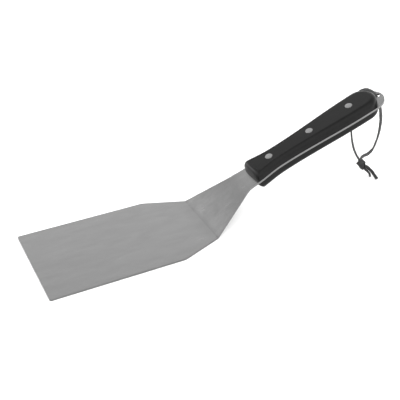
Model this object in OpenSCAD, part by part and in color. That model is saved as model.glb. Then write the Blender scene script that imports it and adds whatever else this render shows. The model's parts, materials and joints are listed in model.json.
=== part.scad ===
// Grill turner: one pressed steel blade with its neck and full tang, two handle scales held by
// three two-part rivets, and a leather lanyard knotted through the eye at the butt.
// X runs from the blade to the butt, Y across it and Z up. The blade lies flat on Z = 0, and the
// origin is under the middle of the turner's length and width.

/* [Blade] */
// Width of the blade
blade_w = 90; // [80:1:100]
// Front edge to the shoulders
shoulder_x = 112.3; // [105:0.1:120]
// Front edge to the sharp bend at the heel
heel_x = 148.2; // [142:0.1:155]
// Width at the heel bend
heel_w = 62.6; // [58:0.1:66]
// Thickness of the steel
steel_t = 1.8; // [1.7:0.1:2.4]
// Rounding of the front corners, seen from above
front_corner_r = 1.5; // [0.5:0.1:4]
// Rounding of the shoulders, seen from above
shoulder_r = 8; // [2:1:14]

/* [Neck] */
// Length of the neck between its two bends
neck_len = 47.8; // [44:0.1:52]
// Climb of the neck, in degrees above the blade
neck_rise = 33.5; // [30:0.1:38]
// Radius of the sharp bend at the heel, at mid thickness
heel_bend_r = 2.4; // [1.5:0.1:5]
// Radius of the gentle bend where the neck meets the handle, at mid thickness
neck_bend_r = 16; // [8:1:24]

/* [Handle] */
// Climb of the handle, in degrees above the blade
handle_rise = 20.9; // [18:0.1:24]
// Handle bend to the front rivet
front_rivet_len = 31.1; // [30:0.1:34]
// Distance from rivet to rivet
rivet_pitch = 43; // [42:0.5:44]
// Width of the tang where it leaves the neck
tang_front_w = 26; // [24:0.5:30]
// Width at the waist behind the front rivet
tang_waist_w = 19.6; // [18:0.1:22]
// Width at the butt, and the diameter of its round end
tang_butt_w = 28.5; // [26:0.5:30]
// Front rivet to the front end of the scales
scale_front_len = 21.2; // [19:0.1:23]
// Front rivet to the butt end of the scales
scale_butt_len = 112.5; // [111:0.1:114]
// How far the steel stands out behind the scales
eye_overhang = 8; // [7:0.1:9]
// Diameter of the eye that the lanyard passes through
eye_d = 4.8; // [4:0.1:5]

/* [Scales] */
// Thickness of each scale
scale_t = 8.1; // [7.5:0.1:9]
// How far down the front end a scale's rounded edge begins
scale_edge_front_t = 7.2; // [4:0.1:7.4]
// How far down the sides and the butt it begins
scale_edge_t = 4.6; // [3:0.1:5.5]
// How far back the rounded edge reaches over the front end
scale_edge_end_w = 4; // [2:0.1:5]
// How far in it reaches at the sides, up to the front rivet
scale_edge_front_w = 2.6; // [2:0.1:4]
// How far in it reaches round the butt
scale_edge_butt_w = 4.8; // [3:0.1:7]
// Rounding of the scale's front corners, along the handle
scale_corner_len = 1.6; // [1:0.1:4]
// Rounding of the scale's front corners, across the handle
scale_corner_w = 8; // [1:0.5:9]

/* [Rivets] */
// Diameter of the rivet heads
rivet_head_d = 6.6; // [6:0.1:8]
// Thickness of the rivet heads
rivet_head_t = 1.4; // [1:0.1:2]
// Outer diameter of the socket half's tube
rivet_tube_d = 5; // [4.4:0.1:5.4]
// Diameter of the pin half's shank
rivet_pin_d = 3.4; // [3:0.1:3.6]

/* [Lanyard] */
// Thickness of the leather lace
lace_d = 2.2; // [2:0.1:2.4]

/* [Hidden] */
$fn = 64;

// Gap all round a rivet head, tube or pin in its hole
rivet_gap = 0.03;
// Gap between the rivet tube and the steel it passes through
tang_hole_gap = 0.1;
// Room left at the end of the rivet pin and the end of the rivet tube
rivet_end_room = 1;
// Solid bottom of the rivet socket, head included
socket_floor_t = 3;

// How much longer the rounding of a scale's front corners is at its outer face
scale_corner_growth = 2.5;
// Length over which the rounded edge of a scale's front end turns into that of its sides
scale_edge_change_len = 6;

// Distances along the flat blank, from the front edge
neck_end_s = heel_x + neck_len;
front_rivet_s = neck_end_s + front_rivet_len;
// Distances along the handle, from the front rivet
tang_curve_u = -25;
waist_u = 6;
scale_end_u = scale_butt_len - tang_butt_w / 2;
tang_end_u = scale_end_u + eye_overhang;
eye_u = scale_butt_len + eye_overhang / 2;
rivet_stations = [0, rivet_pitch, 2 * rivet_pitch];

// The straight edges of the shoulders and neck are one line in the flat blank
taper = (blade_w - heel_w) / 2 / (heel_x - shoulder_x);
// Width over which the neck's edge turns smoothly into the tang's
neck_blend = 2.4;

// Side view: where the mid-planes of blade, neck and handle meet
heel_point = [heel_x, steel_t / 2];
neck_point = heel_point + neck_len * [cos(neck_rise), sin(neck_rise)];

// The turner's whole length, seen from above
plan_len = plan_x(front_rivet_s + tang_end_u + tang_butt_w / 2);

// The middle of the eye, on the mid-plane of the steel
eye_centre = [plan_x(front_rivet_s + eye_u) - plan_len / 2, 0,
              neck_point[1] + (front_rivet_len + eye_u) * sin(handle_rise)];

// The lace's route, from the middle of the eye. It comes up the near strand, through the eye,
// arches against the butt to the far side and hangs down again. Both strands cross the line
// that the loop swings about at the height of the first and last points of the bight.
bight_route = [[2, 0, -4], [0.2, 0.3, -2], [-0.8, 0.6, 0], [-1.8, 1.2, 1.6], [-3.2, 2.2, 3],
               [-4.5, 4, 4], [-6, 6.5, 4.6], [-7.5, 9, 4.2], [-9, 11.3, 2.8], [-10, 13.2, 0.8],
               [-10.5, 14.8, -1.4], [-11, 16, -4]];
near_route = [[2, 0, -4], [4, 0, -9], [5.5, 0, -14], [7, 0, -20], [8, 0, -26], [8.2, 0, -32],
              [8, 0, -38], [7, 0, -44], [6, 0.5, -49.5], [4.3, 0.5, -54], [2, 1, -57.6],
              [-1.1, 1.5, -60], [-4.4, 2.5, -61.4], [-6.6, 3, -63.5], [-7, 3, -66]];
far_route = [[-11, 16, -4], [-11.5, 16.5, -9], [-12, 16.5, -15], [-12.5, 16.5, -21],
             [-12.5, 16.5, -27], [-12.5, 16, -33], [-12, 15.5, -39], [-11.5, 14.5, -45],
             [-10.7, 13.2, -51], [-10, 10.6, -57], [-8.6, 8, -62], [-7, 5, -67]];
long_tail_route = [[-3, -1, -71.5], [-1, -4, -73], [-0.7, -8, -74.2], [-1.3, -12, -75.2],
                   [-1.2, -16.6, -77.3]];
short_tail_route = [[-4.5, -1.5, -73], [-4, -4.5, -74], [-3.5, -8, -75.5], [-4.3, -10.3, -77.3]];
// The lumps of the knot: place from the middle of the eye, and radius
knot_lumps = [[[-7.5, 3.5, -67.5], 3.2], [[-5.5, 2, -70], 4.2], [[-4, 0, -72], 3.2]];
// The loop's plane faces this way, so no stretch of the lace points along it
loop_facing = [0.8, 0.6, 0];
lace_sides = 8;
// Room on each side of the line that the loop swings about
swing_gap = 1.4;

function mix(a, b, share) = a + (b - a) * share;
function ease(t) = (1 - cos(180 * max(0, min(1, t)))) / 2;
function unit(v) = v / norm(v);

// Larger of a and b, with a smooth change from one to the other
function smooth_max(a, b, width) =
    let (h = max(width - abs(a - b), 0) / width) max(a, b) + h * h * width / 4;

// Half width of the tang at u along the handle
function tang_half_w(u) =
    u < waist_u
    ? mix(tang_front_w, tang_waist_w, ease((u - tang_curve_u) / (waist_u - tang_curve_u))) / 2
    : mix(tang_waist_w, tang_butt_w, ease((u - waist_u) / (scale_end_u - waist_u))) / 2;

// Half width of the flat blank at s behind the heel
function blank_half_w(s) =
    smooth_max(blade_w / 2 - taper * (s - shoulder_x), tang_half_w(s - front_rivet_s), neck_blend);

// Distance along X, seen from above, of a point at s along the blank
function plan_x(s) =
    s < heel_x ? s
    : s < neck_end_s ? heel_x + (s - heel_x) * cos(neck_rise)
    : neck_point[0] + (s - neck_end_s) * cos(handle_rise);

// Points of the arc that rounds corner b of the path a, b, c
function corner_arc(a, b, c, r, steps) =
    let (p = unit(a - b), q = unit(c - b),
         half = acos(p * q) / 2,
         centre = b + unit(p + q) * r / sin(half),
         start = b + p * r / tan(half) - centre,
         end = b + q * r / tan(half) - centre,
         sweep = 180 - 2 * half)
    [for (i = [0:steps])
        let (t = i / steps)
        centre + (start * sin((1 - t) * sweep) + end * sin(t * sweep)) / sin(sweep)];

// One edge of the flat blank, front to butt, as [distance along it, half width]
blank_edge = concat(
    corner_arc([0, 0], [0, blade_w / 2], [shoulder_x, blade_w / 2], front_corner_r, 6),
    corner_arc([0, blade_w / 2], [shoulder_x, blade_w / 2], [heel_x, heel_w / 2], shoulder_r, 6),
    [for (s = [heel_x:4:neck_end_s - 12]) [s, blank_half_w(s)]],
    [for (s = [neck_end_s - 11:2:front_rivet_s - 20]) [s, blank_half_w(s)]],
    [for (u = [-18:4:tang_end_u - 1]) [front_rivet_s + u, tang_half_w(u)]],
    [for (a = [90:-7.5:0]) [front_rivet_s + tang_end_u + tang_butt_w / 2 * cos(a),
                            tang_butt_w / 2 * sin(a)]]);

// Points of a bend in the side view, each with the slope there: [x, z, slope]
function bend(point, slope_in, slope_out, radius, steps) =
    let (r = slope_out > slope_in ? radius : -radius,
         start = point - r * tan((slope_out - slope_in) / 2) * [cos(slope_in), sin(slope_in)],
         centre = start + r * [-sin(slope_in), cos(slope_in)])
    [for (i = [0:steps])
        let (a = mix(slope_in, slope_out, i / steps))
        [centre[0] + r * sin(a), centre[1] - r * cos(a), a]];

// Mid-plane of the steel in the side view, a little longer than the steel at both ends
past_end = neck_point + (front_rivet_len + tang_end_u + tang_butt_w) * [cos(handle_rise),
                                                                         sin(handle_rise)];
mid_line = concat([[-1, steel_t / 2, 0]],
                  bend(heel_point, 0, neck_rise, heel_bend_r, 8),
                  bend(neck_point, neck_rise, handle_rise, neck_bend_r, 8),
                  [[past_end[0], past_end[1], handle_rise]]);
function beside(line, distance) =
    [for (p = line) [p[0] - distance * sin(p[2]), p[1] + distance * cos(p[2])]];
function reversed(list) = [for (i = [len(list) - 1:-1:0]) list[i]];

// Places its children in the handle's frame: X along the handle from the front rivet, Z square
// to the steel from its mid-plane
module on_handle()
    translate([neck_point[0] - plan_len / 2, 0, neck_point[1]])
        rotate([0, -handle_rise, 0])
            translate([front_rivet_len, 0, 0])
                children();

// Steel sheet of full width, bent at the heel and at the handle
module bent_sheet()
    translate([0, blade_w, 0])
        rotate([90, 0, 0])
            linear_extrude(2 * blade_w)
                polygon(concat(beside(mid_line, steel_t / 2),
                               reversed(beside(mid_line, -steel_t / 2))));

// Outline of the turner seen from above, as a tall block
module plan_block() {
    edge = [for (p = blank_edge) [plan_x(p[0]), p[1]]];
    other_edge = [for (p = edge) [p[0], -p[1]]];
    linear_extrude(plan_len, center = true)
        polygon(concat(edge, reversed([for (i = [0:len(edge) - 2]) other_edge[i]])));
}

module blade()
    color([0.62, 0.62, 0.61])
        difference() {
            translate([-plan_len / 2, 0, 0])
                intersection() {
                    bent_sheet();
                    plan_block();
                }
            on_handle() {
                for (u = rivet_stations)
                    translate([u, 0, -steel_t])
                        cylinder(d = rivet_tube_d + 2 * tang_hole_gap, h = 2 * steel_t);
                translate([eye_u, 0, -steel_t])
                    cylinder(d = eye_d, h = 2 * steel_t);
            }
        }

// How far in the rounded edge reaches at u along the handle
function scale_edge_w(u) = mix(scale_edge_front_w, scale_edge_butt_w, max(u, 0) / scale_end_u);

// Outline of a scale, drawn in by a share of the rounded edge's reach, front to butt and back
function scale_outline(share) =
    let (front = share * scale_edge_end_w - scale_front_len,
         corner_len = scale_corner_len + share * scale_corner_growth,
         corner_u = front + corner_len,
         corner_v = tang_half_w(corner_u) - share * scale_edge_w(corner_u) - scale_corner_w,
         edge = concat(
             [for (a = [180:-15:90])
                 [corner_u + corner_len * cos(a), corner_v + scale_corner_w * sin(a)]],
             [for (i = [1:20])
                 let (u = mix(corner_u, scale_end_u, i / 20))
                 [u, tang_half_w(u) - share * scale_edge_w(u)]],
             [for (a = [81:-9:0]) [scale_end_u, 0]
                                  + (tang_butt_w / 2 - share * scale_edge_butt_w) * [cos(a), sin(a)]]))
    concat(edge, reversed([for (i = [0:len(edge) - 2]) [edge[i][0], -edge[i][1]]]));

// How far down the rounded edge begins at u along the handle
function scale_edge_depth(u) =
    mix(scale_edge_front_t, scale_edge_t, ease((u + scale_front_len) / scale_edge_change_len));

// Loops of points round a scale, from the steel to the outer face, with their heights above it
scale_loops = concat([[for (p = scale_outline(0)) [p[0], p[1], 0]]],
                     [for (a = [0:11.25:90])
                         [for (p = scale_outline(1 - cos(a)))
                             [p[0], p[1], scale_t - scale_edge_depth(p[0]) * (1 - sin(a))]]]);

// A scale with rounded outer edges, lying on the steel
module scale_body() {
    count = len(scale_loops[0]);
    points = [for (loop = scale_loops) for (p = loop) p + [0, 0, steel_t / 2]];
    walls = [for (j = [0:len(scale_loops) - 2])
                for (i = [0:count - 1])
                    let (a = j * count + i, b = j * count + (i + 1) % count)
                    each [[a, b, b + count], [a, b + count, a + count]]];
    bottom = [for (i = [count - 1:-1:0]) i];
    top = [for (i = [0:count - 1]) (len(scale_loops) - 1) * count + i];
    polyhedron(points, concat(walls, [bottom, top]));
}

module drilled_scale()
    difference() {
        scale_body();
        for (u = rivet_stations)
            translate([u, 0, 0]) {
                cylinder(d = rivet_tube_d + 2 * rivet_gap, h = 2 * scale_t);
                translate([0, 0, steel_t / 2 + scale_t - rivet_head_t])
                    cylinder(d = rivet_head_d + 2 * rivet_gap, h = 2 * rivet_head_t);
            }
    }

module upper_scale()
    color([0.05, 0.05, 0.05])
        on_handle()
            drilled_scale();

module lower_scale()
    color([0.05, 0.05, 0.05])
        on_handle()
            mirror([0, 0, 1])
                drilled_scale();

// Half of the handle's thickness: the outer faces of the rivet heads lie here
half_handle_t = steel_t / 2 + scale_t;
socket_top = half_handle_t - rivet_head_t - rivet_end_room;
socket_bottom = socket_floor_t - half_handle_t;

// Solid half of a rivet, its head flush with the upper scale
module rivet_pin(u)
    color([0.66, 0.66, 0.66])
        on_handle()
            translate([u, 0, 0]) {
                translate([0, 0, half_handle_t - rivet_head_t])
                    cylinder(d = rivet_head_d, h = rivet_head_t);
                translate([0, 0, socket_bottom + rivet_end_room])
                    cylinder(d = rivet_pin_d,
                             h = half_handle_t - socket_bottom - rivet_end_room - 0.5);
            }

// Tubular half of a rivet, its head flush with the lower scale
module rivet_socket(u)
    color([0.66, 0.66, 0.66])
        on_handle()
            translate([u, 0, -half_handle_t])
                difference() {
                    union() {
                        cylinder(d = rivet_head_d, h = rivet_head_t);
                        cylinder(d = rivet_tube_d, h = socket_top + half_handle_t);
                    }
                    translate([0, 0, socket_floor_t])
                        cylinder(d = rivet_pin_d + 2 * rivet_gap, h = 2 * half_handle_t);
                }

module front_rivet_pin() rivet_pin(rivet_stations[0]);
module front_rivet_socket() rivet_socket(rivet_stations[0]);
module middle_rivet_pin() rivet_pin(rivet_stations[1]);
module middle_rivet_socket() rivet_socket(rivet_stations[1]);
module rear_rivet_pin() rivet_pin(rivet_stations[2]);
module rear_rivet_socket() rivet_socket(rivet_stations[2]);

// Ring of points round the lace at point i of a route
function lace_ring(route, i) =
    let (last = len(route) - 1,
         along = unit(route[min(i + 1, last)] - route[max(i - 1, 0)]),
         across = unit(cross(along, loop_facing)),
         other = cross(along, across))
    [for (k = [0:lace_sides - 1])
        let (a = 360 * k / lace_sides)
        route[i] + lace_d / 2 * (cos(a) * across + sin(a) * other)];

// A stretch of lace along a route that starts in the eye's frame
module lace(route) {
    last = (len(route) - 1) * lace_sides;
    points = [for (i = [0:len(route) - 1]) each lace_ring(route, i)];
    walls = [for (i = [0:len(route) - 2])
                for (k = [0:lace_sides - 1])
                    let (a = i * lace_sides + k, b = i * lace_sides + (k + 1) % lace_sides)
                    each [[a, a + lace_sides, b + lace_sides], [a, b + lace_sides, b]]];
    start = [for (k = [0:lace_sides - 1]) k];
    end = [for (k = [lace_sides - 1:-1:0]) last + k];
    color([0.16, 0.15, 0.14])
        translate(eye_centre)
            polyhedron(points, concat(walls, [start, end]));
}

// The route with its first point moved along it by distance
function start_later(route, distance) =
    concat([route[0] + distance * unit(route[1] - route[0])],
           [for (i = [1:len(route) - 1]) route[i]]);

module lanyard_bight()
    lace(reversed(start_later(reversed(start_later(bight_route, swing_gap)), swing_gap)));

module lanyard_near_strand() lace(start_later(near_route, swing_gap));

module lanyard_far_strand() lace(start_later(far_route, swing_gap));

module lanyard_knot()
    color([0.16, 0.15, 0.14])
        translate(eye_centre)
            for (lump = knot_lumps)
                translate(lump[0])
                    sphere(r = lump[1]);

module lanyard_long_tail() lace(long_tail_route);

module lanyard_short_tail() lace(short_tail_route);

blade();
upper_scale();
lower_scale();
front_rivet_pin();
front_rivet_socket();
middle_rivet_pin();
middle_rivet_socket();
rear_rivet_pin();
rear_rivet_socket();
lanyard_bight();
lanyard_near_strand();
lanyard_far_strand();
lanyard_knot();
lanyard_long_tail();
lanyard_short_tail();
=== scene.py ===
"""Looks of the grill turner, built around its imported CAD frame: pressed steel, handle scales,
rivets and a knotted leather lanyard. Lengths are in metres, in the CAD frame, unless they say mm."""

import json
from math import acos, cos, pi, radians, sin, sqrt, tan

import bpy
import numpy as np
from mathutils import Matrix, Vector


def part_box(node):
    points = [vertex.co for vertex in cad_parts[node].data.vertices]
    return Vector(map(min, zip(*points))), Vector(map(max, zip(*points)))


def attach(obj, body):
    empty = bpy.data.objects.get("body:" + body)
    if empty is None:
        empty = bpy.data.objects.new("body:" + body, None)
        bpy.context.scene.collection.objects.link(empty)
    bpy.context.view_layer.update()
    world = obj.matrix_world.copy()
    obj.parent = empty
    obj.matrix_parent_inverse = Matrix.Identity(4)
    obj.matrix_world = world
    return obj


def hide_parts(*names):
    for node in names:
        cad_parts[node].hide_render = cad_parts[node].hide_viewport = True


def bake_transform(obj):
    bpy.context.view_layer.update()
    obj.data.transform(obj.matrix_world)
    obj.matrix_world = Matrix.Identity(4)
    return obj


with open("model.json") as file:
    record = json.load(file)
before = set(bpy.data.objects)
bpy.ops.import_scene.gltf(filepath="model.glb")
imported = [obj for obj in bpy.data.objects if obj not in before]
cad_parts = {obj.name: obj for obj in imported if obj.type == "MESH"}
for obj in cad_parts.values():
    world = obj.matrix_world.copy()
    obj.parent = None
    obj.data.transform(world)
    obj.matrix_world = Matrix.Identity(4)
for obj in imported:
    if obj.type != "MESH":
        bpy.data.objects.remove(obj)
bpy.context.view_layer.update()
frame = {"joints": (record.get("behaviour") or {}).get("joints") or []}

MM = 0.001
TURNER = "turner"
LANYARD = "lanyard"


# ---------------------------------------------------------------- numbers and directions

def unit(vector):
    return np.asarray(vector, float) / np.linalg.norm(vector)


def mix(a, b, share):
    return a + (b - a) * share


def ease(t):
    """0 before t = 0, 1 after t = 1, and half a cosine wave between."""
    return (1 - cos(pi * min(max(t, 0), 1))) / 2


def smooth_max(a, b, width):
    """Larger of a and b, with a smooth change from one to the other."""
    h = max(width - abs(a - b), 0) / width
    return max(a, b) + h * h * width / 4


# ---------------------------------------------------------------- places from the CAD frame

def middle_of(*nodes):
    """Middle of the box round these CAD nodes."""
    corners = np.array([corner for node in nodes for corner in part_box(node)])
    return (corners.min(0) + corners.max(0)) / 2


ACROSS = np.array([0.0, 1.0, 0.0])
rivets = {
    place: middle_of(f"{place}_rivet_pin", f"{place}_rivet_socket")
    for place in ("front", "middle", "rear")
}
handle_origin = rivets["front"]
along_handle = unit(rivets["rear"] - rivets["front"])
off_handle = np.array([-along_handle[2], 0, along_handle[0]])
swing = frame["joints"][0]
# The lace crosses the line that the loop swings about just below the eye
swing_from_eye = np.array([2, 0, -4]) * MM
eye_centre = np.array(swing["pos_m"]) - swing_from_eye
steel_low, steel_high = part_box("blade")


def on_handle(u, v, w):
    """Point at u along the handle from the front rivet, v across it and w off the steel."""
    return handle_origin + u * along_handle + v * ACROSS + w * off_handle


# ---------------------------------------------------------------- camera

# Seen from its target, in metres; the lens and the sensor are in mm
CAMERA_AZIMUTH = radians(-26.9)
CAMERA_ELEVATION = radians(32.65)
CAMERA_DISTANCE = 0.66
CAMERA_TARGET = np.array([-0.0026, 0.0292, 0])
CAMERA_LENS = 65.95
CAMERA_SENSOR = 36
CAMERA_NEAREST = 0.01


def make_camera():
    back = np.array([
        sin(CAMERA_AZIMUTH) * cos(CAMERA_ELEVATION),
        -cos(CAMERA_AZIMUTH) * cos(CAMERA_ELEVATION),
        sin(CAMERA_ELEVATION),
    ])
    camera = bpy.data.objects.new("camera", bpy.data.cameras.new("camera"))
    camera.location = CAMERA_TARGET + CAMERA_DISTANCE * back
    camera.rotation_euler = (pi / 2 - CAMERA_ELEVATION, 0, CAMERA_AZIMUTH)
    camera.data.lens = CAMERA_LENS
    camera.data.sensor_width = CAMERA_SENSOR
    camera.data.clip_start = CAMERA_NEAREST
    bpy.context.scene.collection.objects.link(camera)
    bpy.context.scene.camera = camera


# ---------------------------------------------------------------- mesh helpers

LATHE_SIDES = 64


def shade_smooth(mesh):
    mesh.polygons.foreach_set("use_smooth", [True] * len(mesh.polygons))


def add_mesh(name, points, faces):
    mesh = bpy.data.meshes.new(name)
    mesh.from_pydata([tuple(p) for p in points], [], faces)
    mesh.validate()
    shade_smooth(mesh)
    made = bpy.data.objects.new(name, mesh)
    bpy.context.scene.collection.objects.link(made)
    return made


def apply_modifiers(piece):
    """Makes the piece's mesh what its modifiers show, and takes them off."""
    bpy.context.view_layer.update()
    shown = piece.evaluated_get(bpy.context.evaluated_depsgraph_get())
    mesh = bpy.data.meshes.new_from_object(shown)
    piece.modifiers.clear()
    piece.data = mesh
    shade_smooth(mesh)


def cut(piece, *cutters):
    """Takes the cutters' shapes out of the piece, and removes the cutters."""
    for cutter in cutters:
        modifier = piece.modifiers.new("cut", "BOOLEAN")
        modifier.operation = "DIFFERENCE"
        modifier.solver = "EXACT"
        modifier.object = cutter
    apply_modifiers(piece)
    for cutter in cutters:
        bpy.data.objects.remove(cutter)


def keep_faces_flat(piece):
    """Makes the flat faces of a smoothly shaded piece look flat."""
    piece.modifiers.new("flat_faces", "WEIGHTED_NORMAL").keep_sharp = False


def round_edges(piece, width, segments, angle):
    """Rounds every edge sharper than angle, in degrees, and keeps the flat faces flat."""
    modifier = piece.modifiers.new("round_edges", "BEVEL")
    modifier.width = width
    modifier.segments = segments
    modifier.limit_method = "ANGLE"
    modifier.angle_limit = radians(angle)
    modifier.use_clamp_overlap = True
    apply_modifiers(piece)
    keep_faces_flat(piece)


def lathe(name, centre, axis, profile):
    """Solid of revolution. The profile is (radius, height) pairs that begin and end on the axis."""
    sides = LATHE_SIDES
    axis = unit(axis)
    side = unit(np.cross(axis, ACROSS))
    other = np.cross(axis, side)
    points = [centre + profile[0][1] * axis]
    for radius, height in profile[1:-1]:
        for k in range(sides):
            a = 2 * pi * k / sides
            points.append(centre + height * axis + radius * (cos(a) * side + sin(a) * other))
    points.append(centre + profile[-1][1] * axis)
    rings = len(profile) - 2
    last = len(points) - 1
    faces = []
    for k in range(sides):
        n = (k + 1) % sides
        faces.append((0, 1 + n, 1 + k))
        for ring in range(rings - 1):
            a, b = 1 + ring * sides, 1 + (ring + 1) * sides
            faces.append((a + k, a + n, b + n, b + k))
        faces.append((last, last - sides + k, last - sides + n))
    return add_mesh(name, points, faces)


def stand_for(piece, node, material):
    """Gives a piece of the turner its material, attaches it to the turner and hides the CAD node it
    stands for.
    """
    piece.data.materials.clear()
    piece.data.materials.append(material)
    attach(piece, TURNER)
    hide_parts(node)


def smooth_line(points, step):
    """Points about a step apart on a cubic curve through points, and where each one comes."""
    points = np.array(points, float)
    gaps = np.linalg.norm(np.diff(points, axis=0), axis=1)
    slopes = np.gradient(points, np.concatenate([[0], np.cumsum(gaps)]), axis=0)
    line, places = [points[0]], [0]
    for i, gap in enumerate(gaps):
        count = max(1, round(gap / step))
        for t in np.arange(1, count + 1) / count:
            line.append(
                (2 * t**3 - 3 * t**2 + 1) * points[i]
                + (t**3 - 2 * t**2 + t) * gap * slopes[i]
                + (3 * t**2 - 2 * t**3) * points[i + 1]
                + (t**3 - t**2) * gap * slopes[i + 1]
            )
        places.append(len(line) - 1)
    return np.array(line), places


# ---------------------------------------------------------------- lanyard

# The lace's route, in mm from the middle of the eye
BIGHT_ROUTE = [
    [2, 0, -4], [0.2, 0.3, -2], [-0.8, 0.6, 0], [-1.8, 1.2, 1.6], [-3.2, 2.2, 3], [-4.5, 4, 4],
    [-6, 6.5, 4.6], [-7.5, 9, 4.2], [-9, 11.3, 2.8], [-10, 13.2, 0.8], [-10.5, 14.8, -1.4],
    [-11, 16, -4],
]
NEAR_ROUTE = [
    [2, 0, -4], [4, 0, -9], [5.5, 0, -14], [7, 0, -20], [8, 0, -26], [8.2, 0, -32], [8, 0, -38],
    [7, 0, -44], [6, 0.5, -49.5], [4.3, 0.5, -54], [2, 1, -57.6], [-1.1, 1.5, -60],
    [-4.4, 2.5, -61.4], [-6.6, 3, -63.5], [-7, 3, -66],
]
FAR_ROUTE = [
    [-11, 16, -4], [-11.5, 16.5, -9], [-12, 16.5, -15], [-12.5, 16.5, -21], [-12.5, 16.5, -27],
    [-12.5, 16, -33], [-12, 15.5, -39], [-11.5, 14.5, -45], [-10.7, 13.2, -51], [-10, 10.6, -57],
    [-8.6, 8, -62], [-7, 5, -67],
]
LONG_TAIL_ROUTE = [
    [-3, -1, -71.5], [-1, -4, -73], [-0.7, -8, -74.2], [-1.3, -12, -75.2], [-1.2, -16.6, -77.3],
]
SHORT_TAIL_ROUTE = [[-4.5, -1.5, -73], [-4, -4.5, -74], [-3.5, -8, -75.5], [-4.3, -10.3, -77.3]]
# Which point of the bight lies in the eye
EYE_POINT = 2

# How far the lace's broad side is turned at each of those points, in degrees: 0 is towards
# LACE_FRONT and 90 is towards LACE_SIDE
LACE_FRONT = unit([-0.38, -0.75, 0.54])
LACE_SIDE = unit([0.89, -0.45, 0])
BIGHT_TURNS = [50, 55, 60, 45, 25, 10, 0, 0, 10, 30, 50, 60]
NEAR_TURNS = [50, 45, 20, 5, 20, 30, 45, 60, 85, 70, 25, 0, 0, 50, 70]
FAR_TURNS = [60, 70, 80, 85, 85, 85, 85, 80, 65, 65, 75, 75]
LONG_TAIL_TURNS = [0, 0, 0, 0, 0]
SHORT_TAIL_TURNS = [80, 85, 85, 85]

# The overhand knot's line from top to bottom, in mm: right, front and up in the knot's own frame
KNOT_LINE = [
    [0, 0.2, 3.6], [0.6, 1.2, 1.8], [2.2, 2.1, -0.6], [2.9, 0, -2.3], [1.5, -2.2, -2.6],
    [-1, -2.5, -1.3], [-2.9, -0.9, 0.4], [-2.7, 1.4, 1.8], [-0.5, 2.6, 2.7], [2.1, 1.9, 2.9],
    [2.3, -0.9, 2.1], [0.7, -1.4, 0.6], [-0.4, -0.4, -1.8], [-0.2, 0.1, -3.8],
]
KNOT_MIDDLE = np.array([-5.5, 2, -70])
KNOT_UP = unit([-5, 5, 6])
# Half the distance between the two strands in the knot
KNOT_HALF_GAP = 0.8
# How strongly the strands keep the side-by-side direction that they had at the last point
KNOT_STEADINESS = 0.5

LACE_HALF_WIDTH = 1.5 * MM
LACE_HALF_THICKNESS = 0.95 * MM
LACE_SIDES = 16
LACE_STEP = 0.8 * MM
# Above 2, the lace's section is a rounded rectangle
LACE_SQUARENESS = 2.8
# A ring of this share of the section in each flat end keeps its shading apart from the sides'
LACE_END_SIZE = 0.8
# Its width wanders by these shares, in waves of so many radians a mm
LACE_WAVES = [(0.04, 0.9), (0.03, 2.3)]


def facing(turns):
    """Directions that the broad side faces, from turns in degrees."""
    return [cos(radians(turn)) * LACE_FRONT + sin(radians(turn)) * LACE_SIDE for turn in turns]


def knot_strands():
    """The two strands through the knot, side by side, top to bottom, and which way they face."""
    right = unit(np.cross(LACE_FRONT, KNOT_UP))
    axes = np.array([right, np.cross(KNOT_UP, right), KNOT_UP])
    line = np.array(KNOT_LINE)
    beside = axes @ (np.array(NEAR_ROUTE[-1]) - np.array(FAR_ROUTE[-1]))
    near, far, faces = [], [], []
    for point, direction in zip(line, np.gradient(line, axis=0)):
        across = np.cross(direction, [point[0], point[1], 0])
        across = (across if across @ beside > 0 else -across) + KNOT_STEADINESS * beside
        beside = unit(across - (across @ unit(direction)) * unit(direction))
        near.append(KNOT_MIDDLE + (point + KNOT_HALF_GAP * beside) @ axes)
        far.append(KNOT_MIDDLE + (point - KNOT_HALF_GAP * beside) @ axes)
        faces.append(unit(np.cross(direction, beside)) @ axes)
    return near, far, faces


def lace_points():
    """Points of the whole lace, end to end, the way it faces there, and where it leaves the knot,
    passes the eye and enters the knot."""
    near, far, faces = knot_strands()
    stretches = [
        (LONG_TAIL_ROUTE[::-1] + near[::-1], facing(LONG_TAIL_TURNS[::-1]) + faces[::-1]),
        (NEAR_ROUTE[::-1], facing(NEAR_TURNS[::-1])),
        (BIGHT_ROUTE[1:] + FAR_ROUTE[1:], facing(BIGHT_TURNS[1:] + FAR_TURNS[1:])),
        (far + SHORT_TAIL_ROUTE, faces + facing(SHORT_TAIL_TURNS)),
    ]
    points = np.array([point for route, _ in stretches for point in route]) * MM + eye_centre
    directions = [direction for _, ways in stretches for direction in ways]
    knot_in = len(stretches[0][0])
    eye = knot_in + len(NEAR_ROUTE) - 1 + EYE_POINT
    knot_out = len(points) - len(stretches[3][0]) - 1
    return points, directions, (knot_in, eye, knot_out)


def sides_along(line, places, directions):
    """At each point of the line, the directions across the lace's width and its thickness."""
    steady = [directions[0]]
    for direction in directions[1:]:
        steady.append(direction if direction @ steady[-1] > 0 else -direction)
    steady = np.array(steady)
    along = np.gradient(line, axis=0)
    along /= np.linalg.norm(along, axis=1)[:, None]
    at = np.arange(len(line))
    wanted = np.array([np.interp(at, places, steady[:, axis]) for axis in range(3)]).T
    sides = []
    for way, direction in zip(wanted, along):
        up = unit(way - (way @ direction) * direction)
        sides.append((np.cross(direction, up), up))
    return sides


def lace_section():
    """Outline of the lace's section: a flat strip with rounded edges."""
    power = 2 / LACE_SQUARENESS
    outline = []
    for k in range(LACE_SIDES):
        a = 2 * pi * k / LACE_SIDES
        c, s = cos(a), sin(a)
        outline.append((
            LACE_HALF_WIDTH * np.sign(c) * abs(c) ** power,
            LACE_HALF_THICKNESS * np.sign(s) * abs(s) ** power,
        ))
    return outline


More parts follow.
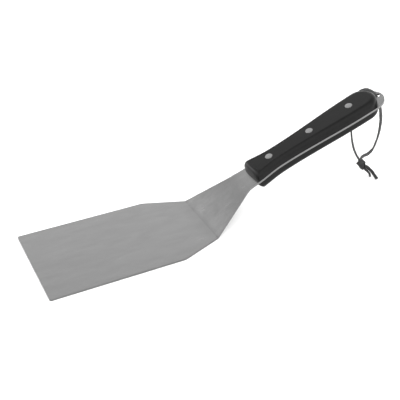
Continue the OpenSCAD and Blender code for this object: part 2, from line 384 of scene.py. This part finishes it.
def lace_piece(name, line, sides, distances):
    """A stretch of the lace as a closed tube with flat ends."""
    section = lace_section()
    rings = [(i, 1) for i in range(len(line))]
    rings = [(0, LACE_END_SIZE)] + rings + [(len(line) - 1, LACE_END_SIZE)]
    points = []
    for i, size in rings:
        side, other = sides[i]
        distance = distances[i] / MM
        width = size * (1 + sum(share * sin(distance * per_mm) for share, per_mm in LACE_WAVES))
        for across, up in section:
            points.append(line[i] + width * across * side + size * up * other)
    count = len(section)
    faces = [tuple(range(count))[::-1], tuple(range(len(points) - count, len(points)))]
    for ring in range(len(rings) - 1):
        a, b = ring * count, (ring + 1) * count
        for k in range(count):
            n = (k + 1) % count
            faces.append((a + k, a + n, b + n, b + k))
    return add_mesh(name, points, faces)


def hang_strand(piece, node):
    """A strand, which hangs from the eye to the knot: hides the CAD nodes it stands for and bakes
    its place into its mesh.
    """
    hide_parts("lanyard_bight", node)
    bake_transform(piece)


def make_lanyard(lace_leather, shaded_knot_leather):
    points, directions, stops = lace_points()
    line, places = smooth_line(points, LACE_STEP)
    sides = sides_along(line, places, directions)
    distances = np.concatenate([[0], np.cumsum(np.linalg.norm(np.diff(line, axis=0), axis=1))])
    knot_in, eye, knot_out = (places[stop] for stop in stops)
    stretches = {
        "knot_strand_long": slice(0, knot_in + 1),
        "lace_near": slice(knot_in, eye + 1),
        "lace_far": slice(eye, knot_out + 1),
        "knot_strand_short": slice(knot_out, len(line)),
    }
    pieces = {}
    for name, part in stretches.items():
        pieces[name] = lace_piece(name, line[part], sides[part], distances[part])
        # The knot and its tails take a darker copy of the leather as painted shade
        leather = shaded_knot_leather if name.startswith("knot") else lace_leather
        pieces[name].data.materials.append(leather)
    knot = [pieces["knot_strand_long"], pieces["knot_strand_short"]]
    for piece, tail in zip(knot, ("lanyard_long_tail", "lanyard_short_tail")):
        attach(piece, LANYARD)
        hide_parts("lanyard_knot", tail)
    hang_strand(pieces["lace_near"], "lanyard_near_strand")
    hang_strand(pieces["lace_far"], "lanyard_far_strand")


# ---------------------------------------------------------------- pressed steel

STEEL_T = 1.8 * MM
# Distances behind the blade's front edge
SHOULDER_X = 112.3 * MM
HEEL_X = 148.2 * MM
HEEL_W = 62.6 * MM
FRONT_CORNER_R = 1.5 * MM
HEEL_BEND_R = 2.4 * MM
NECK_BEND_R = 16 * MM
# Widths over which one edge turns smoothly into the next, at the shoulders and up the neck
SHOULDER_BLEND = 0.6 * MM
NECK_BLEND = 2.4 * MM
FRONT_RIVET_LEN = 31.1 * MM
TANG_FRONT_W = 26 * MM
TANG_WAIST_W = 19.6 * MM
TANG_BUTT_W = 28.5 * MM
SCALE_BUTT_LEN = 112.5 * MM
EYE_OVERHANG = 8 * MM
EYE_D = 4.8 * MM
TANG_HOLE_D = 5.2 * MM
# Distances along the handle from the front rivet; the round ends of the scales and of the tang
# have their middles at the last two
TANG_FRONT_U = -25 * MM
TANG_WAIST_U = 6 * MM
TANG_BUTT_U = SCALE_BUTT_LEN - TANG_BUTT_W / 2
TANG_END_U = TANG_BUTT_U + EYE_OVERHANG
STEEL_EDGE_R = 0.4 * MM
# The sheet's mesh: its columns, about how far apart its rows are, and the rows in round stretches
STEEL_COLUMNS = 24
STEEL_ROW_GAP = 2 * MM
FRONT_CORNER_ROWS = 7
HEEL_BEND_ROWS = 12
NECK_BEND_ROWS = 8
BUTT_ROWS = 30

blade_half_w = (steel_high[1] - steel_low[1]) / 2
heel_point = np.array([steel_low[0] + HEEL_X, STEEL_T / 2])
neck_point = (handle_origin - FRONT_RIVET_LEN * along_handle)[[0, 2]]
neck_len = np.linalg.norm(neck_point - heel_point)


def tang_half_w(u):
    """Half width of the tang at u along the handle."""
    if u < TANG_WAIST_U:
        share = ease((u - TANG_FRONT_U) / (TANG_WAIST_U - TANG_FRONT_U))
        return mix(TANG_FRONT_W, TANG_WAIST_W, share) / 2
    share = ease((u - TANG_WAIST_U) / (TANG_BUTT_U - TANG_WAIST_U))
    return mix(TANG_WAIST_W, TANG_BUTT_W, share) / 2


def steel_half_w(x):
    """Half width of the steel at x, seen from above."""
    if x < heel_point[0]:
        past_heel = x - heel_point[0]
    elif x < neck_point[0]:
        past_heel = (x - heel_point[0]) * neck_len / (neck_point[0] - heel_point[0])
    else:
        past_heel = neck_len + (x - neck_point[0]) / along_handle[0]
    u = past_heel - neck_len - FRONT_RIVET_LEN
    if u > TANG_END_U:
        return sqrt(max((TANG_BUTT_W / 2) ** 2 - (u - TANG_END_U) ** 2, 0))
    taper = (blade_half_w - HEEL_W / 2) / (HEEL_X - SHOULDER_X)
    # The smaller of the blade's half width and the taper's
    half = -smooth_max(-blade_half_w, taper * past_heel - HEEL_W / 2, SHOULDER_BLEND)
    from_front = x - steel_low[0]
    if from_front < FRONT_CORNER_R:
        half -= FRONT_CORNER_R - sqrt(FRONT_CORNER_R**2 - (FRONT_CORNER_R - from_front) ** 2)
    return smooth_max(half, tang_half_w(u), NECK_BLEND)


def bend_points(before, corner, after, radius, steps):
    """The arc that rounds a corner of the steel's side view."""
    p, q = unit(before - corner), unit(after - corner)
    half = acos(p @ q) / 2
    centre = corner + unit(p + q) * radius / sin(half)
    start = corner + p * radius / tan(half) - centre
    end = corner + q * radius / tan(half) - centre
    sweep = pi - 2 * half
    return [
        centre + (start * sin((1 - t) * sweep) + end * sin(t * sweep)) / sin(sweep)
        for t in np.linspace(0, 1, steps)
    ]


def steel_rows():
    """(x, z, half width) of each row of the sheet's mid-surface, front to butt, and its tip."""
    front = np.array([steel_low[0], STEEL_T / 2])
    end_middle = on_handle(TANG_END_U, 0, 0)[[0, 2]]
    slope = along_handle[[0, 2]]
    quarter = pi / 2
    line = [
        front + [FRONT_CORNER_R * (1 - cos(a)), 0]
        for a in np.linspace(0, quarter, FRONT_CORNER_ROWS)
    ]
    line += bend_points(front, heel_point, neck_point, HEEL_BEND_R, HEEL_BEND_ROWS)
    line += bend_points(heel_point, neck_point, end_middle, NECK_BEND_R, NECK_BEND_ROWS)
    line += [
        end_middle + TANG_BUTT_W / 2 * sin(a) * slope
        for a in np.linspace(0, quarter, BUTT_ROWS)
    ]
    rows = [line[0]]
    for point in line[1:]:
        count = max(1, round(np.linalg.norm(point - rows[-1]) / STEEL_ROW_GAP))
        start = rows[-1]
        rows += [mix(start, point, i / count) for i in range(1, count + 1)]
    return [(x, z, steel_half_w(x)) for x, z in rows[:-1]], rows[-1]


def steel_sheet():
    """The turner's mid-surface, bent and cut to its outline."""
    rows, tip = steel_rows()
    shares = np.linspace(-1, 1, STEEL_COLUMNS + 1)
    points = [(x, share * half, z) for x, z, half in rows for share in shares]
    points.append((tip[0], 0, tip[1]))
    width = len(shares)
    faces = []
    for i in range(len(rows) - 1):
        for j in range(STEEL_COLUMNS):
            a = i * width + j
            faces.append((a, a + width, a + width + 1, a + 1))
    last = (len(rows) - 1) * width
    faces += [(last + j, len(points) - 1, last + j + 1) for j in range(STEEL_COLUMNS)]
    return add_mesh("turner_steel", points, faces)


def make_steel(steel):
    piece = steel_sheet()
    thicken = piece.modifiers.new("thicken", "SOLIDIFY")
    thicken.thickness = STEEL_T
    thicken.offset = 0
    thicken.use_even_offset = True
    apply_modifiers(piece)
    cutters = []
    for centre, d in [(eye_centre, EYE_D)] + [(place, TANG_HOLE_D) for place in rivets.values()]:
        profile = [(0, -STEEL_T), (d / 2, -STEEL_T), (d / 2, STEEL_T), (0, STEEL_T)]
        cutters.append(lathe("hole", centre, off_handle, profile))
    cut(piece, *cutters)
    round_edges(piece, STEEL_EDGE_R, segments=3, angle=40)
    stand_for(piece, "blade", steel)


# ---------------------------------------------------------------- handle scales

SCALE_T = 8.1 * MM
SCALE_FRONT_U = -21.2 * MM
# How far down its rounded edge begins at the front end and at the sides, and the length over
# which the one turns into the other
SCALE_EDGE_FRONT_T = 7.2 * MM
SCALE_EDGE_T = 4.6 * MM
SCALE_EDGE_CHANGE_LEN = 6 * MM
# How far in the rounded edge reaches over the front end, along the sides near the front, and
# round the butt
SCALE_EDGE_END_W = 4 * MM
SCALE_EDGE_FRONT_W = 2.6 * MM
SCALE_EDGE_BUTT_W = 4.8 * MM
SCALE_CORNER_LEN = 1.6 * MM
SCALE_CORNER_W = 8 * MM
# How much longer the rounding of the front corners is at the outer face
SCALE_CORNER_GROWTH = 2.5 * MM
SCALE_HOLE_EDGE_R = 0.15 * MM
# The scale's mesh: loops up its rounded edge, and points round its corners, sides and butt
SCALE_LEVELS = 12
SCALE_CORNER_POINTS = 13
SCALE_SIDE_POINTS = 44
SCALE_BUTT_POINTS = 24
RIVET_HEAD_D = 6.6 * MM
RIVET_HEAD_T = 1.4 * MM
RIVET_TUBE_D = 5 * MM
RIVET_PIN_D = 3.4 * MM
RIVET_GAP = 0.05 * MM


def scale_edge_w(u):
    """How far in the rounded edge reaches at u along the handle."""
    return mix(SCALE_EDGE_FRONT_W, SCALE_EDGE_BUTT_W, max(u, 0) / TANG_BUTT_U)


def scale_edge(share):
    """One edge of a scale's outline, front to butt, drawn in by a share of the rounded edge."""
    corner_len = SCALE_CORNER_LEN + SCALE_CORNER_GROWTH * share
    corner_u = SCALE_FRONT_U + share * SCALE_EDGE_END_W + corner_len
    corner_v = tang_half_w(corner_u) - share * scale_edge_w(corner_u) - SCALE_CORNER_W
    edge = [
        (corner_u + corner_len * cos(a), corner_v + SCALE_CORNER_W * sin(a))
        for a in np.linspace(pi, pi / 2, SCALE_CORNER_POINTS)
    ]
    for t in np.linspace(0, 1, SCALE_SIDE_POINTS)[1:]:
        u = mix(corner_u, TANG_BUTT_U, t)
        edge.append((u, tang_half_w(u) - share * scale_edge_w(u)))
    radius = TANG_BUTT_W / 2 - share * SCALE_EDGE_BUTT_W
    for a in np.linspace(pi / 2, 0, SCALE_BUTT_POINTS)[1:]:
        edge.append((TANG_BUTT_U + radius * cos(a), radius * sin(a)))
    return edge


def scale_edge_depth(u):
    """How far down the rounded edge begins at u along the handle."""
    share = ease((u - SCALE_FRONT_U) / SCALE_EDGE_CHANGE_LEN)
    return mix(SCALE_EDGE_FRONT_T, SCALE_EDGE_T, share)


def scale_loops(side):
    """Loops of points round a scale, from the steel to its outer face."""
    levels = np.linspace(0, pi / 2, SCALE_LEVELS)
    # Each loop's share of the rounded edge and drop below the outer face; the first is at the steel
    shares = [(0, None)] + [(1 - cos(a), 1 - sin(a)) for a in levels]
    loops = []
    for share, drop in shares:
        edge = scale_edge(share)
        loop = []
        for u, v in edge + [(u, -v) for u, v in edge[-2::-1]]:
            height = 0 if drop is None else SCALE_T - scale_edge_depth(u) * drop
            loop.append(on_handle(u, v, side * (STEEL_T / 2 + height)))
        loops.append(loop)
    return loops


def scale_faces(levels, count):
    """Walls between the loops of count points, and strips of faces over the first and last."""
    faces = []
    for level in range(levels - 1):
        a, b = level * count, (level + 1) * count
        for k in range(count):
            n = (k + 1) % count
            faces.append((a + k, a + n, b + n, b + k))
    top = (levels - 1) * count
    half = (count - 1) // 2
    for k in range(half):
        other = count - 1 - k
        if k == half - 1:
            faces.append((k, k + 1, other))
            faces.append((top + k, top + other, top + k + 1))
        else:
            faces.append((k, k + 1, other - 1, other))
            faces.append((top + k, top + other, top + other - 1, top + k + 1))
    return faces


def rivet_holes(side):
    """Cutters for a scale's stepped rivet holes."""
    outer = STEEL_T / 2 + SCALE_T
    head_r, tube_r = RIVET_HEAD_D / 2 + RIVET_GAP, RIVET_TUBE_D / 2 + RIVET_GAP
    profile = [
        (0, 0), (tube_r, 0), (tube_r, outer - RIVET_HEAD_T), (head_r, outer - RIVET_HEAD_T),
        (head_r, outer + MM), (0, outer + MM),
    ]
    return [lathe("hole", centre, side * off_handle, profile) for centre in rivets.values()]


def make_scale(name, node, side, plastic):
    """A handle scale. side is 1 above the steel and -1 below it."""
    loops = scale_loops(side)
    faces = scale_faces(len(loops), len(loops[0]))
    if side > 0:
        faces = [face[::-1] for face in faces]
    piece = add_mesh(name, [point for loop in loops for point in loop], faces)
    cut(piece, *rivet_holes(side))
    round_edges(piece, SCALE_HOLE_EDGE_R, segments=2, angle=50)
    stand_for(piece, node, plastic)


# ---------------------------------------------------------------- rivets

RIVET_EDGE = 0.12 * MM
RIVET_DOME = 0.06 * MM
# Where the dome's profile has its points, as shares of the head's radius
RIVET_DOME_SHARES = [0, 0.25, 0.5, 0.75, 0.9]
# How far the corner of the head is drawn in where its rounded edge is halfway round
RIVET_EDGE_MIDDLE = 0.3 * RIVET_EDGE
RIVET_CHAMFER = 0.3 * MM
SOCKET_FLOOR_T = 3 * MM
RIVET_END_ROOM = 1 * MM


def rivet_head(outer):
    """Profile of a rivet's head, from the middle of its slightly domed face to its underside."""
    radius = RIVET_HEAD_D / 2
    face = [(radius * t, outer + RIVET_DOME * (1 - t * t)) for t in RIVET_DOME_SHARES]
    return face + [
        (radius - RIVET_EDGE, outer), (radius - RIVET_EDGE_MIDDLE, outer - RIVET_EDGE_MIDDLE),
        (radius, outer - RIVET_EDGE), (radius, outer - RIVET_HEAD_T),
    ]


def make_rivet(place, steel):
    """A two-part rivet: a solid pin from above, pressed into a tubular socket from below."""
    outer = STEEL_T / 2 + SCALE_T
    socket_bottom = SOCKET_FLOOR_T - outer
    socket_top = outer - RIVET_HEAD_T - RIVET_END_ROOM
    pin_r, tube_r = RIVET_PIN_D / 2, RIVET_TUBE_D / 2
    pin_end = socket_bottom + RIVET_END_ROOM
    pin = rivet_head(outer) + [
        (pin_r, outer - RIVET_HEAD_T), (pin_r, pin_end + RIVET_CHAMFER),
        (pin_r - RIVET_CHAMFER, pin_end), (0, pin_end),
    ]
    bore_r = pin_r + RIVET_GAP
    socket = rivet_head(outer) + [
        (tube_r, outer - RIVET_HEAD_T), (tube_r, -socket_top), (bore_r, -socket_top),
        (bore_r, -socket_bottom), (0, -socket_bottom),
    ]
    for kind, axis, profile in (("pin", off_handle, pin), ("socket", -off_handle, socket)):
        piece = lathe(f"rivet_{kind}_{place}", rivets[place], axis, profile[::-1])
        keep_faces_flat(piece)
        stand_for(piece, f"{place}_rivet_{kind}", steel)


# ---------------------------------------------------------------- materials

def add_node(tree, kind, inputs, **settings):
    """A shader node with its settings, and its inputs set to values or linked to sockets."""
    made = tree.nodes.new(kind)
    for name, value in settings.items():
        setattr(made, name, value)
    for name, value in inputs.items():
        if isinstance(value, bpy.types.NodeSocket):
            tree.links.new(value, made.inputs[name])
        else:
            made.inputs[name].default_value = value
    return made


def noise(tree, per_m, detail=3, roughness=0.5, turn=0, distortion=0):
    """Noise with per_m waves a metre along X, Y and Z, turned about Z by turn."""
    place = add_node(tree, "ShaderNodeTexCoord", {}).outputs["Object"]
    mapping = {"Vector": place, "Rotation": (0, 0, turn), "Scale": per_m}
    mapped = add_node(tree, "ShaderNodeMapping", mapping).outputs["Vector"]
    inputs = {
        "Vector": mapped, "Scale": 1, "Detail": detail, "Roughness": roughness,
        "Distortion": distortion,
    }
    return add_node(tree, "ShaderNodeTexNoise", inputs).outputs["Fac"]


def to_range(tree, value, low, high, from_low=0.3, from_high=0.7):
    """Carries a value from one range, which most noise keeps to unless it is given, to another."""
    inputs = {
        "Value": value, "From Min": from_low, "From Max": from_high, "To Min": low, "To Max": high,
    }
    return add_node(tree, "ShaderNodeMapRange", inputs).outputs["Result"]


def sum_of(tree, *values):
    total = values[0]
    for value in values[1:]:
        total = add_node(tree, "ShaderNodeMath", {0: total, 1: value}).outputs["Value"]
    return total


def product_of(tree, value, other):
    inputs = {0: value, 1: other}
    return add_node(tree, "ShaderNodeMath", inputs, operation="MULTIPLY").outputs["Value"]


def grey(tree, value):
    inputs = {"Red": value, "Green": value, "Blue": value}
    return add_node(tree, "ShaderNodeCombineColor", inputs).outputs["Color"]


def bump(tree, height, distance):
    inputs = {"Height": height, "Distance": distance, "Strength": 1}
    return add_node(tree, "ShaderNodeBump", inputs).outputs["Normal"]


def new_material(name):
    material = bpy.data.materials.new(name)
    material.use_nodes = True
    return material, material.node_tree, material.node_tree.nodes["Principled BSDF"]


def along_steel(tree, changes):
    """A factor that changes along X by the shares given as (distance behind the heel, share)."""
    place = add_node(tree, "ShaderNodeTexCoord", {}).outputs["Object"]
    x = add_node(tree, "ShaderNodeSeparateXYZ", {"Vector": place}).outputs["X"]
    heel_x = steel_low[0] + HEEL_X
    first, last = changes[0][0], changes[-1][0]
    ramp = tree.nodes.new("ShaderNodeValToRGB")
    tree.links.new(to_range(tree, x, 0, 1, heel_x + first, heel_x + last), ramp.inputs["Fac"])
    stops = ramp.color_ramp.elements
    while len(stops) < len(changes):
        stops.new(1)
    for stop, (distance, share) in zip(stops, changes):
        stop.position = (distance - first) / (last - first)
        stop.color = (0.5 + share, 0.5 + share, 0.5 + share, 1)
    return to_range(tree, ramp.outputs["Color"], 0.5, 1.5, 0, 1)


# Painted shade darkens the steel in the sharp bend and up the neck; painted highlights lighten it
# beside them. Behind the last place the last share holds, on the tang and the rivets as well.
STEEL_PAINTED_LIGHT = [
    (-12 * MM, 0), (-2 * MM, -0.06), (0.5 * MM, -0.03), (3 * MM, 0.06), (12 * MM, 0.04),
    (25 * MM, -0.04), (33 * MM, -0.07), (37 * MM, -0.03), (41 * MM, 0.07), (47 * MM, 0.1),
]
# The rolled sheet's clouds lie askew
CLOUD_TURN = radians(-27)
# Waves a metre along X, Y and Z: everything on the steel and the plastic is drawn out along X
STEEL_CLOUDS = (40, 130, 130)
STEEL_STREAKS = (12, 260, 260)
STEEL_GRAIN = (900, 2600, 2600)
PLASTIC_CLOUDS = (60, 120, 120)
PLASTIC_GRAIN = (700, 2200, 2200)
LEATHER_PATCHES = (260, 260, 260)
LEATHER_CREASES = (1800, 1800, 1800)
FLOOR_PATCHES = (3, 3, 3)
# Depths of the grain
STEEL_GRAIN_T = 0.004 * MM
PLASTIC_GRAIN_T = 0.01 * MM
LEATHER_GRAIN_T = 0.08 * MM
# Shade and roughness of each steel
BLADE_FINISH = (0.181, 0.25)
RIVET_FINISH = (0.2, 0.26)
# Darkest and lightest shade: of the open leather, and of the knot and tails, darker as painted shade
LACE_SHADES = (0.035, 0.06)
KNOT_PAINTED_SHADES = (0.014, 0.026)
PLASTIC_SHINE = 0.13
LEATHER_SHINE = 0.25


def steel_material(name, base, roughness):
    """Satin rolled steel: soft clouds, faint rolling streaks along it, a fine grain, and painted
    shade and highlights along X.
    """
    material, tree, shader = new_material(name)
    clouds = noise(tree, STEEL_CLOUDS, detail=4, turn=CLOUD_TURN, distortion=0.5)
    streaks = noise(tree, STEEL_STREAKS, detail=4, roughness=0.6)
    grain = noise(tree, STEEL_GRAIN, detail=2)
    shade = sum_of(
        tree,
        to_range(tree, clouds, base * 0.94, base * 1.05),
        to_range(tree, streaks, -0.004, 0.004),
        to_range(tree, grain, -0.006, 0.006),
    )
    # The base colour times the painted shade and highlights along the steel
    with_painted_light = product_of(tree, shade, along_steel(tree, STEEL_PAINTED_LIGHT))
    tree.links.new(grey(tree, with_painted_light), shader.inputs["Base Color"])
    rough = sum_of(
        tree,
        to_range(tree, clouds, roughness - 0.02, roughness + 0.02),
        to_range(tree, streaks, -0.01, 0.01),
    )
    tree.links.new(rough, shader.inputs["Roughness"])
    height = sum_of(tree, grain, to_range(tree, streaks, 0, 1))
    tree.links.new(bump(tree, height, STEEL_GRAIN_T), shader.inputs["Normal"])
    shader.inputs["Metallic"].default_value = 1
    return material


def plastic_material():
    """Satin black plastic with a fine moulded grain, a little uneven."""
    material, tree, shader = new_material("scale_black")
    clouds = noise(tree, PLASTIC_CLOUDS, detail=4)
    grain = noise(tree, PLASTIC_GRAIN, detail=3)
    shade = sum_of(
        tree,
        to_range(tree, clouds, 0.003, 0.005),
        to_range(tree, grain, -0.001, 0.001),
    )
    tree.links.new(grey(tree, shade), shader.inputs["Base Color"])
    rough = sum_of(
        tree,
        to_range(tree, clouds, 0.34, 0.42),
        to_range(tree, grain, -0.03, 0.03),
    )
    tree.links.new(rough, shader.inputs["Roughness"])
    tree.links.new(bump(tree, grain, PLASTIC_GRAIN_T), shader.inputs["Normal"])
    shader.inputs["Specular IOR Level"].default_value = PLASTIC_SHINE
    return material


def leather_material(name, dark, light):
    """Dyed leather lace: uneven shade, creased grain and a dull waxed surface."""
    material, tree, shader = new_material(name)
    patches = noise(tree, LEATHER_PATCHES, detail=4)
    creases = noise(tree, LEATHER_CREASES, detail=4, roughness=0.6, distortion=0.6)
    shade = sum_of(
        tree,
        to_range(tree, patches, dark, light),
        to_range(tree, creases, -0.004, 0.004),
    )
    tree.links.new(grey(tree, shade), shader.inputs["Base Color"])
    tree.links.new(to_range(tree, creases, 0.55, 0.75), shader.inputs["Roughness"])
    height = sum_of(tree, creases, patches)
    tree.links.new(bump(tree, height, LEATHER_GRAIN_T), shader.inputs["Normal"])
    shader.inputs["Specular IOR Level"].default_value = LEATHER_SHINE
    return material


def floor_material():
    """Pale matt paper."""
    material, tree, shader = new_material("floor")
    shade = to_range(tree, noise(tree, FLOOR_PATCHES), 0.93, 0.94)
    tree.links.new(grey(tree, shade), shader.inputs["Base Color"])
    shader.inputs["Roughness"].default_value = 0.9
    shader.inputs["Specular IOR Level"].default_value = 0
    return material


# ---------------------------------------------------------------- floor and light

FLOOR_HALF = 4
# The room's light on its walls and straight above. Heights are sines of the angle up: the change
# from wall to ceiling lies between the first two, and below the third the walls glow more.
WALL_STRENGTH = 1.84
CEILING_STRENGTH = 0.95
CEILING_FROM = 0.66
CEILING_TO = 0.76
GLOW_STRENGTH = 1.6
GLOW_TO = 0.35
# Around this direction the room is dimmer, as if no reflector stood there
DIM_DIRECTION = unit([-0.6, 0.65, 0.5])
DIM_SHARE = 0.8
# Cosines of the angles from it at which the dimming ends and is full
DIM_EDGE = 0.8
DIM_FULL = 0.97
# Name, place, target, diameter in metres and power in watts
LIGHTS = [
    ("key", (0.1, -1.1, 1.7), (0, 0, 0), 2, 16),
    ("low_panel", (-1, 1.15, 0.35), (0, 0, 0.05), 1.1, 10),
]


def make_floor():
    h = FLOOR_HALF
    floor = add_mesh("floor", [(-h, -h, 0), (h, -h, 0), (h, h, 0), (-h, h, 0)], [(0, 1, 2, 3)])
    floor.data.materials.append(floor_material())


def make_light(name, place, target, size, power):
    light = bpy.data.objects.new(name, bpy.data.lights.new(name, "AREA"))
    light.data.shape = "DISK"
    light.data.size = size
    light.data.energy = power
    light.location = place
    toward = Vector(target) - Vector(place)
    light.rotation_euler = toward.to_track_quat("-Z", "Y").to_euler()
    bpy.context.scene.collection.objects.link(light)


def make_room():
    """The light from all round: a bright wall, a dimmer ceiling and a glow above the floor."""
    world = bpy.data.worlds.new("studio")
    world.use_nodes = True
    tree = world.node_tree
    direction = add_node(tree, "ShaderNodeTexCoord", {}).outputs["Generated"]
    height = add_node(tree, "ShaderNodeSeparateXYZ", {"Vector": direction}).outputs["Z"]
    room = to_range(tree, height, WALL_STRENGTH, CEILING_STRENGTH, CEILING_FROM, CEILING_TO)
    glow = to_range(tree, height, GLOW_STRENGTH, 0, 0, GLOW_TO)
    directions = {0: direction, 1: DIM_DIRECTION}
    nearness = add_node(
        tree, "ShaderNodeVectorMath", directions, operation="DOT_PRODUCT"
    ).outputs["Value"]
    dimming = to_range(tree, nearness, 1, DIM_SHARE, DIM_EDGE, DIM_FULL)
    background = tree.nodes["Background"]
    background.inputs["Color"].default_value = (1, 1, 1, 1)
    strength = product_of(tree, sum_of(tree, room, glow), dimming)
    tree.links.new(strength, background.inputs["Strength"])
    bpy.context.scene.world = world


# ---------------------------------------------------------------- the scene

make_camera()
make_lanyard(
    leather_material("lace_leather", *LACE_SHADES),
    leather_material("shaded_knot_leather", *KNOT_PAINTED_SHADES),
)
make_steel(steel_material("blade_steel", *BLADE_FINISH))
scale_plastic = plastic_material()
make_scale("handle_scale_upper", "upper_scale", 1, scale_plastic)
make_scale("handle_scale_lower", "lower_scale", -1, scale_plastic)
rivet_steel = steel_material("rivet_steel", *RIVET_FINISH)
for rivet_place in rivets:
    make_rivet(rivet_place, rivet_steel)
make_floor()
make_room()
for light in LIGHTS:
    make_light(*light)
bpy.context.scene.view_settings.view_transform = "Standard"
